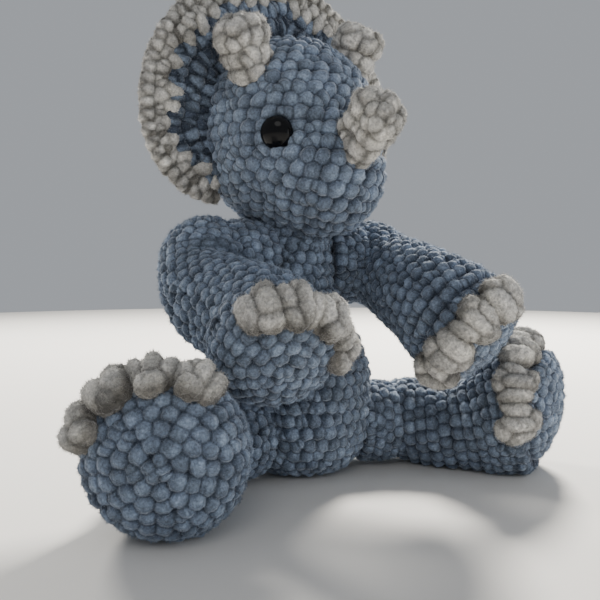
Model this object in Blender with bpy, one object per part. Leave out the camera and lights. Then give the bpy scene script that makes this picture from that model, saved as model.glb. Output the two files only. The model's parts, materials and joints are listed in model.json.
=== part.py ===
"""Stuffed triceratops worked in chenille yarn, sitting upright.

The toy faces -Y, its own left side is +X and +Z is up.  The origin is on the floor, in the
middle of the flat patch that the body sits on.  Every length below is in millimetres and is
turned into metres when a mesh is made.

Each crocheted piece is a shell that is open where it is sewn on, with its own loose stuffing
inside.  The limbs end in a ball that rests against the body, so they can turn about the
middle of that ball, and a ring of sewing yarn fills the wedge around each place of contact.
"""
import math

import bmesh
import bpy
from mathutils import Matrix, Vector
from mathutils.bvhtree import BVHTree
from mathutils.geometry import interpolate_bezier

MM = 0.001
UP = Vector((0, 0, 1))

# ---- driving dimensions, millimetres -------------------------------------------------------
FABRIC = 5.0            # thickness of the crocheted fabric
CLEARANCE = 0.3         # between pieces that touch
SEAM_CLEARANCE = 0.45   # around the sewing yarn at a joint
BALL_GAP = 0.9          # between a limb's ball and the body
STUFFING_GAP = 1.2      # between a cover and the stuffing inside it
SEWN_OPENING = 9.0      # radius of the opening where a limb is sewn on
LIMB_SIDES = 14
BODY_SIDES = 18

# body: (height, radius) up the outside, from the flat seat to the neck
SEAT_RADIUS = 22.0
BODY_OUTLINE = [(0, SEAT_RADIUS), (4, 31), (12, 38), (25, 42.5), (45, 43.5), (60, 43), (73, 39.5),
                (86, 34), (97, 29), (107, 26.4), (122, 25.8), (136, 25)]

# head: a ball with a soft snout, turned a little to the toy's left
HEAD_CENTRE = Vector((-3, 5, 198))
HEAD_YAW = math.radians(10)
HEAD_RADIUS = 52.0
HEAD_HALF_HEIGHT = 55.0
HEAD_LOWER_HALF = 57.0
JAW_FULLNESS = 2.35     # 2 is a plain ball, more gives fuller cheeks below the middle
SNOUT_FORWARD = 32.0
SNOUT_DROP = 28.0
SNOUT_RADIUS = 33.5
SNOUT_BLEND = 10.0      # the higher, the sharper the crease between ball and snout
NECK_OPENING = 12.0
NECK_SEAM_RADIUS = 21.5
NECK_PIVOT_DROP = 20.0  # the head rocks about a point this far below its middle

# limbs: (distance along the limb from its ball's middle, radius)
ARM_BALL = 27.0
ARM_OUTLINE = [(14, 25), (30, 26.5), (48, 28), (66, 30), (80, 32), (92, 31.5), (101, 27), (106, 19),
               (108.5, 9)]
ARM_LENGTH = 109.5
LEG_BALL = 26.0
LEG_OUTLINE = [(12, 26.3), (28, 26.5), (41, 29), (52, 34.5), (65, 38), (76, 37), (83, 32), (88, 22),
               (90.3, 11)]
LEG_LENGTH = 91.0
TAIL_BALL = 20.0
TAIL_OUTLINE = [(12, 19), (26, 16.5), (40, 13.5), (52, 10.5), (60, 6.5)]
TAIL_LENGTH = 62.0
SHOULDER_HEIGHT = 122.0
HIP_HEIGHT = 26.0
HIP_ANGLE = math.radians(76)    # from straight ahead to the hip, around the body

# middle of each paw and the way its sole faces
PAWS = {
    "right": (Vector((-46, -61, 87)), Vector((-0.10, -0.81, -0.56))),
    "left": (Vector((62, -76, 87)), Vector((0.41, -0.64, -0.63))),
}
FEET = {
    "right": (Vector((-100, -71, 38.2)), Vector((-0.41, -0.91, 0.0))),
    "left": (Vector((120, -68, 38.2)), Vector((0.56, -0.80, -0.12))),
}
# how far each set of toes is rolled about its limb, towards the toy's left
TOE_ROLL = {"right_paw": -27, "left_paw": 83, "right_foot": 21, "left_foot": 46}
TOE_STEP = {"paw": 35, "foot": 31}
TOE_SETBACK = {"right_paw": 18, "left_paw": 18, "right_foot": 20, "left_foot": 24}
TOE_LENGTH = 21.0
TOE_WIDTH = 15.5
TOE_HEIGHT = 9.0
TOE_LIFT = 1.6          # keeps a toe's flat facets clear of the curved fabric under it

# horns: where each stands on the head as (forward, sideways, up) from the head's middle
NOSE_HORN_BASE = Vector((57, -2, -18))
NOSE_HORN_LEAN = Vector((36, 0, 27))
NOSE_HORN_OUTLINE = [(0, 13.5), (8, 14.5), (17, 14.5), (25, 12), (29.5, 6.5)]
NOSE_HORN_HEIGHT = 31.5
BROW_HORN_BASE = {"right": Vector((14, -38, 28)), "left": Vector((14, 30, 34))}
BROW_HORN_LEAN = {"right": Vector((5, -16, 36)), "left": Vector((7, 9, 36))}
BROW_HORN_OUTLINE = [(0, 15), (8, 16), (14, 16.5), (20, 14), (24, 8)]
BROW_HORN_HEIGHT = 26.0
FOOT_LIFT = 2.2         # keeps a horn's foot clear of the head's facets

# safety eyes
EYE_PLACE = Vector((37, 36, -9))
EYE_RADIUS = 8.7
EYE_DOME = 5.5
EYE_POST_RADIUS = 2.2
WASHER_RADIUS = 9.0
WASHER_THICKNESS = 1.6

# frill: a fan behind the head, from jaw to jaw over the crown
FRILL_BACK = 13.0
FRILL_SWEEP = 2.0       # how much further back its edge is than its root
FRILL_REACH_TOP = 96.0
FRILL_REACH_SIDE = 93.0
FRILL_CORNER = 1.5      # fuller between its top and its sides
FRILL_FLOP = 0.045      # its sides sag inwards by this share
FRILL_TUCK = 22.0       # how far its edge draws in towards the jaw
FRILL_TUCK_START = math.radians(84)
FRILL_END = math.radians(130)
FRILL_THICKNESS = 7.0
TRIM_WIDTH = 18.0
TRIM_THICKNESS = 9.0
YARN_RADIUS = 1.8
THICKEST_YARN = 3.0     # where the neck's yarn is laid double
SEAM_STEPS = 16
NOD_ROOM = 1.2          # between the neck's yarn and the head

BLUE = (0.16, 0.20, 0.26)
CREAM = (0.66, 0.62, 0.56)
BLACK = (0.006, 0.006, 0.008)
WHITE = (0.80, 0.80, 0.78)
CLEAR = (0.45, 0.45, 0.45)


# ---- scene and mesh helpers ----------------------------------------------------------------
def clear_scene():
    for old in list(bpy.data.objects):
        bpy.data.objects.remove(old)


def material(name, colour, roughness):
    """A plain Principled material."""
    made = bpy.data.materials.new(name)
    made.use_nodes = True
    shader = made.node_tree.nodes["Principled BSDF"]
    shader.inputs["Base Color"].default_value = (*colour, 1)
    shader.inputs["Roughness"].default_value = roughness
    shader.inputs["Metallic"].default_value = 0.0
    made.diffuse_color = (*colour, 1)
    return made


def pivot(name, place):
    """An empty that a moving group of pieces hangs from, on its joint."""
    empty = bpy.data.objects.new(name, None)
    empty.location = place * MM
    empty.empty_display_size = 0.01
    bpy.context.collection.objects.link(empty)
    return empty


class Skin:
    """Rings of points with faces between them, made into one closed solid."""

    def __init__(self):
        self.mesh = bmesh.new()

    def ring(self, points):
        return [self.mesh.verts.new(point * MM) for point in points]

    def join(self, first, second):
        """Faces between two rings, or between a ring and a single closing point."""
        if len(first) == 1:
            first, second = second, first
        count = len(first)
        for i in range(count):
            j = (i + 1) % count
            if len(second) == 1:
                self.mesh.faces.new((first[i], first[j], second[0]))
            else:
                self.mesh.faces.new((first[i], first[j], second[j]))
                self.mesh.faces.new((first[i], second[j], second[i]))

    def chain(self, rings):
        for first, second in zip(rings, rings[1:]):
            self.join(first, second)

    def cap(self, ring):
        self.mesh.faces.new(ring)

    def finish(self, name, finish_material, parent=None):
        """Turn the faces outwards and hang the solid from its parent."""
        bmesh.ops.recalc_face_normals(self.mesh, faces=self.mesh.faces)
        data = bpy.data.meshes.new(name)
        self.mesh.to_mesh(data)
        self.mesh.free()
        if parent:
            data.transform(Matrix.Translation(-parent.location))
        data.shade_smooth()
        data.set_sharp_from_angle(angle=math.radians(50))
        data.materials.append(finish_material)
        made = bpy.data.objects.new(name, data)
        bpy.context.collection.objects.link(made)
        made.parent = parent
        return made


def surface(made):
    """A solid's surface in world space, for laying other pieces on it."""
    origin = made.parent.location if made.parent else Vector()
    points = [vertex.co + origin for vertex in made.data.vertices]
    faces = [face.vertices[:] for face in made.data.polygons]
    return BVHTree.FromPolygons(points, faces)


def hit(tree, start, direction):
    """Where a ray first meets a surface, and the surface's direction there."""
    place, normal, _, _ = tree.ray_cast(start * MM, direction.normalized())
    if place is None:
        return None, None
    return place / MM, normal


def side_axes(direction, towards=UP):
    """Two unit directions square to a direction, the first as near as can be to another."""
    direction = direction.normalized()
    if abs(direction.dot(towards)) > 0.999:
        towards = Vector((1, 0, 0))
    first = (towards - direction * towards.dot(direction)).normalized()
    return first, first.cross(direction)


def circle(centre, direction, radius, sides, towards=UP):
    first, second = side_axes(direction, towards)
    points = []
    for i in range(sides):
        turn = 2 * math.pi * i / sides
        points.append(centre + radius * (math.cos(turn) * first + math.sin(turn) * second))
    return points


# ---- body ----------------------------------------------------------------------------------
def body_middle(height):
    """The body's middle line, which leans towards the neck at its top."""
    lean = (height / BODY_OUTLINE[-1][0]) ** 2
    return Vector((HEAD_CENTRE.x * lean, HEAD_CENTRE.y * lean, height))


def body_radius(height):
    for (low, low_radius), (high, high_radius) in zip(BODY_OUTLINE, BODY_OUTLINE[1:]):
        if low <= height <= high:
            return low_radius + (high_radius - low_radius) * (height - low) / (high - low)
    return BODY_OUTLINE[-1][1]


def level_rounds(name, outline, finish_material):
    """A solid of rounds along the body's middle line, closed by flat ends."""
    skin = Skin()
    rings = [skin.ring(circle(body_middle(height), UP, radius, BODY_SIDES))
             for height, radius in outline]
    skin.chain(rings)
    skin.cap(rings[0])
    skin.cap(rings[-1])
    return skin.finish(name, finish_material)


def inset_outline(outline, inset):
    """The body's outline moved inwards, for the inner face and for the stuffing."""
    last = len(outline) - 1
    moved = []
    for i, (height, radius) in enumerate(outline):
        low = outline[max(i - 1, 0)]
        high = outline[min(i + 1, last)]
        slope = Vector((high[0] - low[0], high[1] - low[1])).normalized()
        moved.append((height + inset * slope.y, radius - inset * slope.x))
    moved[0] = (inset, outline[0][1] - 0.4 * inset)
    return moved


def make_body(blue, white):
    outer = BODY_OUTLINE
    inner = inset_outline(outer, FABRIC)
    inner[-1] = (outer[-1][0], outer[-1][1] - FABRIC)
    cover = level_rounds("body_cover", outer + inner[::-1], blue)
    stuffing = inset_outline(outer, FABRIC + CLEARANCE)
    stuffing[-1] = (outer[-1][0] - 2, outer[-1][1] - FABRIC - 2 * CLEARANCE)
    level_rounds("body_stuffing", stuffing, white)
    return surface(cover)


# ---- where the limbs' balls rest against the body ------------------------------------------
def shoulder_place(sign):
    reach = body_radius(SHOULDER_HEIGHT) + ARM_BALL + BALL_GAP
    return body_middle(SHOULDER_HEIGHT) + Vector((sign * reach, 0, 0))


def hip_place(sign):
    reach = body_radius(HIP_HEIGHT) + LEG_BALL + BALL_GAP
    outward = Vector((sign * math.sin(HIP_ANGLE), -math.cos(HIP_ANGLE), 0))
    return body_middle(HIP_HEIGHT) + outward * reach


def tail_place():
    height = TAIL_BALL + 1
    return body_middle(height) + Vector((0, body_radius(height) + TAIL_BALL + BALL_GAP, 0))


def neck_place():
    return HEAD_CENTRE - UP * NECK_PIVOT_DROP


# ---- limbs ---------------------------------------------------------------------------------
def limb_path(start, first_handle, last_handle, middle, facing, length):
    """Points and directions along a limb, every millimetre from its ball's middle."""
    curve = interpolate_bezier(start, first_handle, last_handle, middle, 60)
    curve += [middle + facing * step for step in range(1, 60)]
    places = [curve[0]]
    travelled = 0.0
    for before, after in zip(curve, curve[1:]):
        gap = (after - before).length
        while len(places) <= travelled + gap and len(places) <= length + 1:
            places.append(before.lerp(after, (len(places) - travelled) / gap))
        travelled += gap
    return places


def along(path, distance):
    """The place and the direction at a distance along a path of one-millimetre steps."""
    whole = min(int(distance), len(path) - 2)
    place = path[whole].lerp(path[whole + 1], distance - whole)
    before = path[max(whole - 4, 0)]
    after = path[min(whole + 5, len(path) - 1)]
    return place, (after - before).normalized()


def limb_solid(name, path, shape, inset, finish_material, parent):
    """A closed limb: a ball about the path's start, then the tube to its tip, all inset."""
    ball, outline, length = shape
    start, direction = along(path, 0)
    radius = ball - inset
    skin = Skin()
    rings = [skin.ring([start - direction * radius])]
    for turn in (math.radians(28), math.radians(58), math.radians(90)):
        centre = start - direction * radius * math.cos(turn)
        rings.append(skin.ring(circle(centre, direction, radius * math.sin(turn), LIMB_SIDES)))
    for distance, width in outline:
        centre, direction = along(path, distance)
        centre -= direction * inset * (distance / length) ** 3
        rings.append(skin.ring(circle(centre, direction, max(width - inset, 2.5), LIMB_SIDES)))
    rings.append(skin.ring([along(path, length - inset)[0]]))
    skin.chain(rings)
    return skin.finish(name, finish_material, parent)


def make_limb(name, path, shape, outward, materials, parent):
    """A crocheted limb with an opening against the body, and the stuffing that fills it."""
    blue, white = materials
    cover = limb_solid(name + "_cover", path, shape, 0, blue, parent)
    outside = surface(cover)
    cut(cover, limb_solid(name + "_hollow", path, shape, FABRIC, white, parent))
    start = path[0]
    cut(cover, rod(name + "_opening", start - outward * (shape[0] + 5), start, SEWN_OPENING, 12, white))
    limb_solid(name + "_stuffing", path, shape, FABRIC + STUFFING_GAP, white, parent)
    return outside


def yarn(skin, centre, thickness, first, second):
    """One round of a yarn's own outline, in the plane of two directions."""
    sides = 5
    points = []
    for i in range(sides):
        turn = 2 * math.pi * i / sides
        points.append(centre + thickness * (math.cos(turn) * first + math.sin(turn) * second))
    return skin.ring(points)


def socket_ring(name, middle, outward, ball, radius, body, finish_material, parent):
    """Sewing yarn around a limb's ball, the same all round so that it can turn with the limb."""
    rise = math.sqrt(ball ** 2 - radius ** 2)
    spots = circle(middle - outward * rise, outward, radius + 1.5, SEAM_STEPS)
    room = min((hit(body, spot, -outward)[0] - spot).length for spot in spots)
    thickness = min(room / 2 - SEAM_CLEARANCE, YARN_RADIUS)
    place = middle - outward * math.sqrt((ball + SEAM_CLEARANCE + thickness) ** 2 - radius ** 2)
    skin = Skin()
    rings = [yarn(skin, centre, thickness, (centre - place).normalized(), outward)
             for centre in circle(place, outward, radius, SEAM_STEPS)]
    skin.chain(rings + rings[:1])
    skin.finish(name, finish_material, parent)


def neck_ring(body, head, finish_material, parent):
    """Sewing yarn on the body's rim, as thick as the room under the head allows."""
    skin = Skin()
    rings = []
    place = body_middle(BODY_OUTLINE[-1][0])
    for spot in circle(place, UP, NECK_SEAM_RADIUS, SEAM_STEPS):
        high, _ = hit(head, spot, UP)
        room = (high - spot).length - CLEARANCE - NOD_ROOM
        thickness = min(room / 2.1, THICKEST_YARN)
        centre = spot + UP * (CLEARANCE + thickness)
        rings.append(yarn(skin, centre, thickness, (spot - place).normalized(), UP))
    skin.chain(rings + rings[:1])
    skin.finish("neck_seam", finish_material, parent)


# ---- toes ----------------------------------------------------------------------------------
def bobble(name, tree, above, down, lengthwise, finish_material, parent):
    """A puffed toe: a low dome laid on the surface under it."""
    sides = 8
    crosswise = lengthwise.cross(down).normalized()
    shares = (1.0, 0.78, 0.42)
    skin = Skin()

    def layer(share, lift):
        points = []
        for i in range(sides):
            turn = 2 * math.pi * i / sides
            spot = (above + lengthwise * math.cos(turn) * share * TOE_LENGTH / 2
                    + crosswise * math.sin(turn) * share * TOE_WIDTH / 2)
            ground, _ = hit(tree, spot, down)
            if ground is None:
                ground = spot + down * 12
            points.append(ground - down * lift)
        return skin.ring(points)

    def crown(lift):
        ground, _ = hit(tree, above, down)
        return skin.ring([ground - down * lift])

    low = [layer(share, TOE_LIFT) for share in shares] + [crown(TOE_LIFT)]
    high = [layer(share, TOE_LIFT + TOE_HEIGHT * math.sqrt(1.12 - share * share)) for share in shares]
    high.append(crown(TOE_LIFT + TOE_HEIGHT))
    skin.chain(low)
    skin.chain(high)
    skin.join(low[0], high[0])
    skin.finish(name, finish_material, parent)


def make_toes(side, kind, path, length, tree, cream, parent):
    """Four toes over the front of one paw or foot."""
    limb = side + "_" + kind
    place, direction = along(path, length - TOE_SETBACK[limb])
    back, across = side_axes(direction)
    for number in range(4):
        roll = math.radians(TOE_ROLL[limb] + (number - 1.5) * TOE_STEP[kind])
        outward = back * math.cos(roll) - across * math.sin(roll)
        slant = (outward + 0.35 * direction).normalized()
        lengthwise = (direction - slant * direction.dot(slant)).normalized()
        bobble(f"{limb}_toe_{number + 1}", tree, place + slant * 52, -slant, lengthwise, cream, parent)


def make_arms(blue, white, cream, body, pivots):
    for side, sign in (("right", -1), ("left", 1)):
        middle, facing = PAWS[side][0], PAWS[side][1].normalized()
        start = shoulder_place(sign)
        drop = Vector((-16, -14, -26)) if side == "right" else Vector((8, -26, -11))
        path = limb_path(start, start + drop, middle - facing * 22, middle, facing, ARM_LENGTH)
        swing = pivots[side + "_arm"]
        outward = Vector((sign, 0, 0))
        tree = make_limb(side + "_arm", path, (ARM_BALL, ARM_OUTLINE, ARM_LENGTH), outward,
                         (blue, white), swing)
        make_toes(side, "paw", path, ARM_LENGTH, tree, cream, swing)
        socket_ring(side + "_shoulder_seam", start, outward, ARM_BALL, 12, body, blue, None)


def make_legs(blue, white, cream, body, pivots):
    for side, sign in (("right", -1), ("left", 1)):
        middle, facing = FEET[side][0], FEET[side][1].normalized()
        start = hip_place(sign)
        outward = (start - body_middle(HIP_HEIGHT)).normalized()
        flat = Vector((middle.x, middle.y, HIP_HEIGHT + 1)) - start
        path = limb_path(start, start + flat * 0.45, middle - facing * 20 - UP * 4, middle, facing,
                         LEG_LENGTH)
        swing = pivots[side + "_leg"]
        tree = make_limb(side + "_leg", path, (LEG_BALL, LEG_OUTLINE, LEG_LENGTH), outward,
                         (blue, white), swing)
        make_toes(side, "foot", path, LEG_LENGTH, tree, cream, swing)
        socket_ring(side + "_hip_seam", start, outward, LEG_BALL, 13, body, blue,
                    pivots[side + "_hip"])


def make_tail(blue, white, body, pivots):
    start = tail_place()
    end = start + Vector((6, 34, -5.5))
    facing = Vector((0.2, 0.96, -0.17)).normalized()
    path = limb_path(start, start.lerp(end, 0.3), end - facing * 12, end, facing, TAIL_LENGTH)
    outward = Vector((0, 1, 0))
    make_limb("tail", path, (TAIL_BALL, TAIL_OUTLINE, TAIL_LENGTH), outward, (blue, white),
              pivots["tail"])
    socket_ring("tail_seam", start, outward, TAIL_BALL, 11, body, blue, None)


# ---- head ----------------------------------------------------------------------------------
def head_direction(place):
    """(forward, sideways, up) on the head as a direction in the toy's frame."""
    ahead = Vector((math.sin(HEAD_YAW), -math.cos(HEAD_YAW), 0))
    left = Vector((math.cos(HEAD_YAW), math.sin(HEAD_YAW), 0))
    return ahead * place.x + left * place.y + UP * place.z


def head_point(place):
    return HEAD_CENTRE + head_direction(place)


def head_reach(direction):
    """How far the head's outside is from its middle, in a unit direction on the head."""
    level = math.hypot(direction.x, direction.y) / HEAD_RADIUS
    if direction.z > 0:
        ball = 1 / math.hypot(level, direction.z / HEAD_HALF_HEIGHT)
    else:
        drop = -direction.z / HEAD_LOWER_HALF
        ball = (level ** JAW_FULLNESS + drop ** JAW_FULLNESS) ** (-1 / JAW_FULLNESS)
    snout_middle = Vector((SNOUT_FORWARD, 0, -SNOUT_DROP))
    shadow = snout_middle.dot(direction)
    room = shadow * shadow - snout_middle.length_squared + SNOUT_RADIUS ** 2
    if room <= 0 or shadow <= 0:
        return ball
    snout = shadow + math.sqrt(room)
    return (ball ** SNOUT_BLEND + snout ** SNOUT_BLEND) ** (1 / SNOUT_BLEND)


def head_rings(inset, layers):
    """Level rounds from the crown down to the neck opening."""
    rings = [[head_point(UP * (HEAD_HALF_HEIGHT - inset))]]
    last = math.pi - math.asin(NECK_OPENING / HEAD_RADIUS)
    for i in range(1, layers + 1):
        tilt = last * i / layers
        points = []
        for side in range(BODY_SIDES):
            turn = 2 * math.pi * side / BODY_SIDES
            direction = Vector((math.sin(tilt) * math.cos(turn), math.sin(tilt) * math.sin(turn),
                                math.cos(tilt)))
            points.append(head_point(direction * (head_reach(direction) - inset)))
        rings.append(points)
    return rings


def eye_frame(sign):
    """Where an eye sits on the head, and the way that it faces."""
    place = Vector((EYE_PLACE.x, EYE_PLACE.y * sign, EYE_PLACE.z))
    facing = place.normalized()
    return head_point(facing * head_reach(facing)), head_direction(facing).normalized()


def rod(name, start, end, radius, sides, finish_material):
    """A plain round rod, used to cut holes."""
    skin = Skin()
    direction = (end - start).normalized()
    rings = [skin.ring(circle(place, direction, radius, sides)) for place in (start, end)]
    skin.chain(rings)
    skin.cap(rings[0])
    skin.cap(rings[1])
    return skin.finish(name, finish_material)


def cut(target, cutter):
    """Take a hidden cutter's shape out of a solid."""
    cutter.hide_render = True
    cutter.display_type = "WIRE"
    trim = target.modifiers.new(cutter.name, "BOOLEAN")
    trim.operation = "DIFFERENCE"
    trim.object = cutter


def make_eye(side, sign, tree, black, clear, parent):
    """A safety eye: a domed button on a post, held by a washer inside the fabric."""
    place, facing = eye_frame(sign)
    rim = circle(place + facing * 20, facing, EYE_RADIUS, 12)
    proud = max((hit(tree, spot, -facing)[0] - place).dot(facing) for spot in rim)
    seat = place + facing * (max(proud, 0) + 0.5)
    skin = Skin()
    sides = 14
    post_end = place - facing * (FABRIC + WASHER_THICKNESS + 5)
    rings = [skin.ring(circle(post_end, facing, EYE_POST_RADIUS, sides)),
             skin.ring(circle(seat, facing, EYE_POST_RADIUS, sides)),
             skin.ring(circle(seat, facing, EYE_RADIUS, sides))]
    for turn in (0, 28, 55):
        tilt = math.radians(turn)
        rings.append(skin.ring(circle(seat + facing * (1 + EYE_DOME * math.sin(tilt)), facing,
                                      EYE_RADIUS * math.cos(tilt), sides)))
    rings.append(skin.ring([seat + facing * (1 + EYE_DOME)]))
    skin.chain(rings)
    skin.cap(rings[0])
    skin.finish(side + "_eye", black, parent)

    skin = Skin()
    near = place - facing * (FABRIC + 2.6)
    far = near - facing * WASHER_THICKNESS
    bore = EYE_POST_RADIUS + CLEARANCE
    loops = [(near, bore), (near, WASHER_RADIUS), (far, WASHER_RADIUS), (far, bore)]
    rings = [skin.ring(circle(spot, facing, radius, sides)) for spot, radius in loops]
    skin.chain(rings + rings[:1])
    skin.finish(side + "_eye_washer", clear, parent)


def make_head(blue, white, black, clear, parent):
    outer = head_rings(0, 11)
    inner = head_rings(FABRIC, 11)
    skin = Skin()
    outside = [skin.ring(points) for points in outer]
    inside = [skin.ring(points) for points in inner]
    skin.chain(outside)
    skin.chain(inside)
    skin.join(outside[-1], inside[-1])
    cover = skin.finish("head_cover", blue, parent)
    whole = surface(cover)

    skin = Skin()
    rings = [skin.ring(points) for points in head_rings(FABRIC + STUFFING_GAP, 11)]
    skin.chain(rings)
    skin.cap(rings[-1])
    filling = skin.finish("head_stuffing", white, parent)

    for side, sign in (("right", -1), ("left", 1)):
        make_eye(side, sign, whole, black, clear, parent)
        place, facing = eye_frame(sign)
        deep = place - facing * (FABRIC + 14)
        cut(cover, rod(side + "_eye_hole", place + facing * 3, deep, EYE_POST_RADIUS + 0.5, 10, clear))
        near = place - facing * (FABRIC - 3)
        far = place - facing * (FABRIC + WASHER_THICKNESS + 6.6)
        cut(filling, rod(side + "_eye_pocket", near, far, WASHER_RADIUS + 0.8, 10, clear))
    return whole


# ---- horns ---------------------------------------------------------------------------------
def make_horn(name, base, lean, outline, height, tree, materials, parent):
    """A crocheted horn whose open foot follows the head, its stuffing and its seam."""
    cream, white = materials
    direction = head_direction(lean).normalized()
    sides = 16
    start = head_point(base)
    foot, _ = hit(tree, start + direction * 60, -direction)

    def foot_ring(radius, lift):
        points = []
        for spot in circle(foot + direction * 40, direction, radius, sides):
            ground, normal = hit(tree, spot, -direction)
            points.append(ground + normal * lift)
        return points

    def face(inset, lift):
        rings = [foot_ring(outline[0][1] - inset, lift)]
        for distance, radius in outline[1:]:
            share = distance / height
            centre = foot + direction * (distance - inset * share ** 2)
            rings.append(circle(centre, direction, max(radius - inset, 1.5), sides))
        rings.append([foot + direction * (height - inset)])
        return rings

    skin = Skin()
    outside = [skin.ring(points) for points in face(0, FOOT_LIFT)]
    inside = [skin.ring(points) for points in face(FABRIC, FOOT_LIFT)]
    skin.chain(outside)
    skin.chain(inside)
    skin.join(outside[0], inside[0])
    cover = skin.finish(name, cream, parent)

    skin = Skin()
    rings = [skin.ring(points) for points in face(FABRIC + STUFFING_GAP, FOOT_LIFT + 1)]
    skin.chain(rings)
    middle = skin.ring([foot + direction * (FOOT_LIFT + 1)])
    skin.join(rings[0], middle)
    skin.finish(name + "_stuffing", white, parent)

    skin = Skin()
    rings = []
    wall = surface(cover)
    for spot in circle(foot + direction * 40, direction, outline[0][1] + YARN_RADIUS + 0.9, SEAM_STEPS):
        ground, normal = hit(tree, spot, -direction)
        centre = ground + normal * (YARN_RADIUS + 1.4)
        near, _ = hit(wall, centre, foot + direction * 4 - centre)
        outward = (centre - foot - direction * (centre - foot).dot(direction)).normalized()
        gap = (near - centre).length if near else 2 * YARN_RADIUS
        centre += outward * max(0.0, YARN_RADIUS + 0.4 - gap)
        rings.append(yarn(skin, centre, YARN_RADIUS * 0.9, outward, normal))
    skin.chain(rings + rings[:1])
    skin.finish(name + "_seam", cream, parent)


# ---- frill ---------------------------------------------------------------------------------
def frill_reach(turn):
    """How far the frill's edge is from the head's middle, at a turn away from the crown."""
    reach = FRILL_REACH_TOP - (FRILL_REACH_TOP - FRILL_REACH_SIDE) * (2 * turn / math.pi) ** 2
    reach += FRILL_CORNER * math.sin(2 * abs(turn))
    tuck = max(0.0, abs(turn) - FRILL_TUCK_START) / (FRILL_END - FRILL_TUCK_START)
    reach -= FRILL_TUCK * tuck ** 2
    return reach * (1 - FRILL_FLOP * abs(math.sin(turn)))


def frill_place(turn, root, radius, forward):
    """A point on the fan, moved forward of its middle surface."""
    share = max(0.0, (radius - root) / (FRILL_REACH_SIDE - HEAD_RADIUS))
    back = FRILL_BACK + FRILL_SWEEP * share
    return head_point(Vector((forward - back, radius * math.sin(turn), radius * math.cos(turn))))


def frill_root(tree, turn):
    """Where the fan meets the head."""
    towards = head_direction(Vector((0, math.sin(turn), math.cos(turn))))
    start = head_point(Vector((-FRILL_BACK, 0, 0))) + towards * 120
    lowest = 0.0
    for forward in (-FRILL_THICKNESS / 2, 0, FRILL_THICKNESS / 2):
        ground, _ = hit(tree, start + head_direction(Vector((forward, 0, 0))), -towards)
        lowest = max(lowest, 120 - (start - ground).length if ground else 0)
        lowest = max(lowest, (ground - head_point(Vector((forward - FRILL_BACK, 0, 0)))).length)
    return lowest + 1.0


def make_frill(blue, cream, tree, parent):
    """The fan, its pale edge and the yarn that sews it to the head."""
    count = 24
    half = FRILL_THICKNESS / 2
    thick = TRIM_THICKNESS / 2
    fan, trim, seam = Skin(), Skin(), Skin()
    fan_rings, trim_rings, seam_rings = [], [], []
    for i in range(count + 1):
        turn = FRILL_END * (2 * i / count - 1)
        root = frill_root(tree, turn)
        edge = frill_reach(turn)
        join = max(edge - TRIM_WIDTH, root + 2)
        middle = (root + join) / 2
        section = [(root, half), (middle, half), (join, half), (join, -half), (middle, -half),
                   (root, -half)]
        fan_rings.append(fan.ring([frill_place(turn, root, r, f) for r, f in section]))
        section = [(join + 0.4, thick * 0.8), (edge - 5, thick), (edge - 1, thick * 0.55),
                   (edge, 0), (edge - 1, -thick * 0.55), (edge - 5, -thick), (join + 0.4, -thick * 0.8)]
        trim_rings.append(trim.ring([frill_place(turn, root, r, f) for r, f in section]))
        towards = head_direction(Vector((0, math.sin(turn), math.cos(turn))))
        front = head_point(Vector((half + YARN_RADIUS + 0.6 - FRILL_BACK, 0, 0)))
        ground, normal = hit(tree, front + towards * 120, -towards)
        centre = ground + normal * (YARN_RADIUS + 0.4)
        ahead = head_direction(Vector((1, 0, 0)))
        seam_rings.append(yarn(seam, centre, YARN_RADIUS * 0.9, ahead, normal))
    for skin, rings, name, finish_material in ((fan, fan_rings, "frill", blue),
                                               (trim, trim_rings, "frill_trim", cream),
                                               (seam, seam_rings, "frill_seam", blue)):
        skin.chain(rings)
        skin.cap(rings[0])
        skin.cap(rings[-1])
        skin.finish(name, finish_material, parent)


# ---- the whole toy -------------------------------------------------------------------------
def make_pivots():
    """One empty on each joint."""
    places = {"neck": neck_place(), "head": neck_place(), "tail": tail_place()}
    for side, sign in (("right", -1), ("left", 1)):
        places[side + "_arm"] = shoulder_place(sign)
        places[side + "_hip"] = places[side + "_leg"] = hip_place(sign)
    return {name: pivot(name + "_pivot", place) for name, place in places.items()}


def main():
    clear_scene()
    blue = material("blue_chenille", BLUE, 0.95)
    cream = material("cream_chenille", CREAM, 0.95)
    black = material("black_plastic", BLACK, 0.12)
    white = material("white_fibre", WHITE, 1.0)
    clear = material("clear_plastic", CLEAR, 0.3)
    pivots = make_pivots()

    body = make_body(blue, white)
    make_arms(blue, white, cream, body, pivots)
    make_legs(blue, white, cream, body, pivots)
    make_tail(blue, white, body, pivots)
    head = make_head(blue, white, black, clear, pivots["head"])
    neck_ring(body, head, blue, pivots["neck"])
    horn_materials = (cream, white)
    make_horn("nose_horn", NOSE_HORN_BASE, NOSE_HORN_LEAN, NOSE_HORN_OUTLINE, NOSE_HORN_HEIGHT, head,
              horn_materials, pivots["head"])
    for side in ("right", "left"):
        make_horn(side + "_brow_horn", BROW_HORN_BASE[side], BROW_HORN_LEAN[side],
                  BROW_HORN_OUTLINE, BROW_HORN_HEIGHT, head, horn_materials, pivots["head"])
    make_frill(blue, cream, head, pivots["head"])


main()
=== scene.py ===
"""Looks of the stuffed triceratops: every cover is worked stitch by stitch in chenille yarn.

Each crocheted piece starts as a smooth shape with level rounds on it.  A plump lobe of yarn is
laid at every stitch of every round, and lobes and shape are then fused into one closed skin.
Four attributes stay on the skin for its material: stitch (which one a point belongs to), nap
(which way its pile lies; the material paints a sheen along it, one side of each stitch lighter),
gap (how far the point is from the creases; the material paints shade along them) and height (how
high on its stitch it is; the material paints shade low on each stitch and light on its top).
Lengths are in millimetres until a mesh is made.
"""
import math

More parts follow.
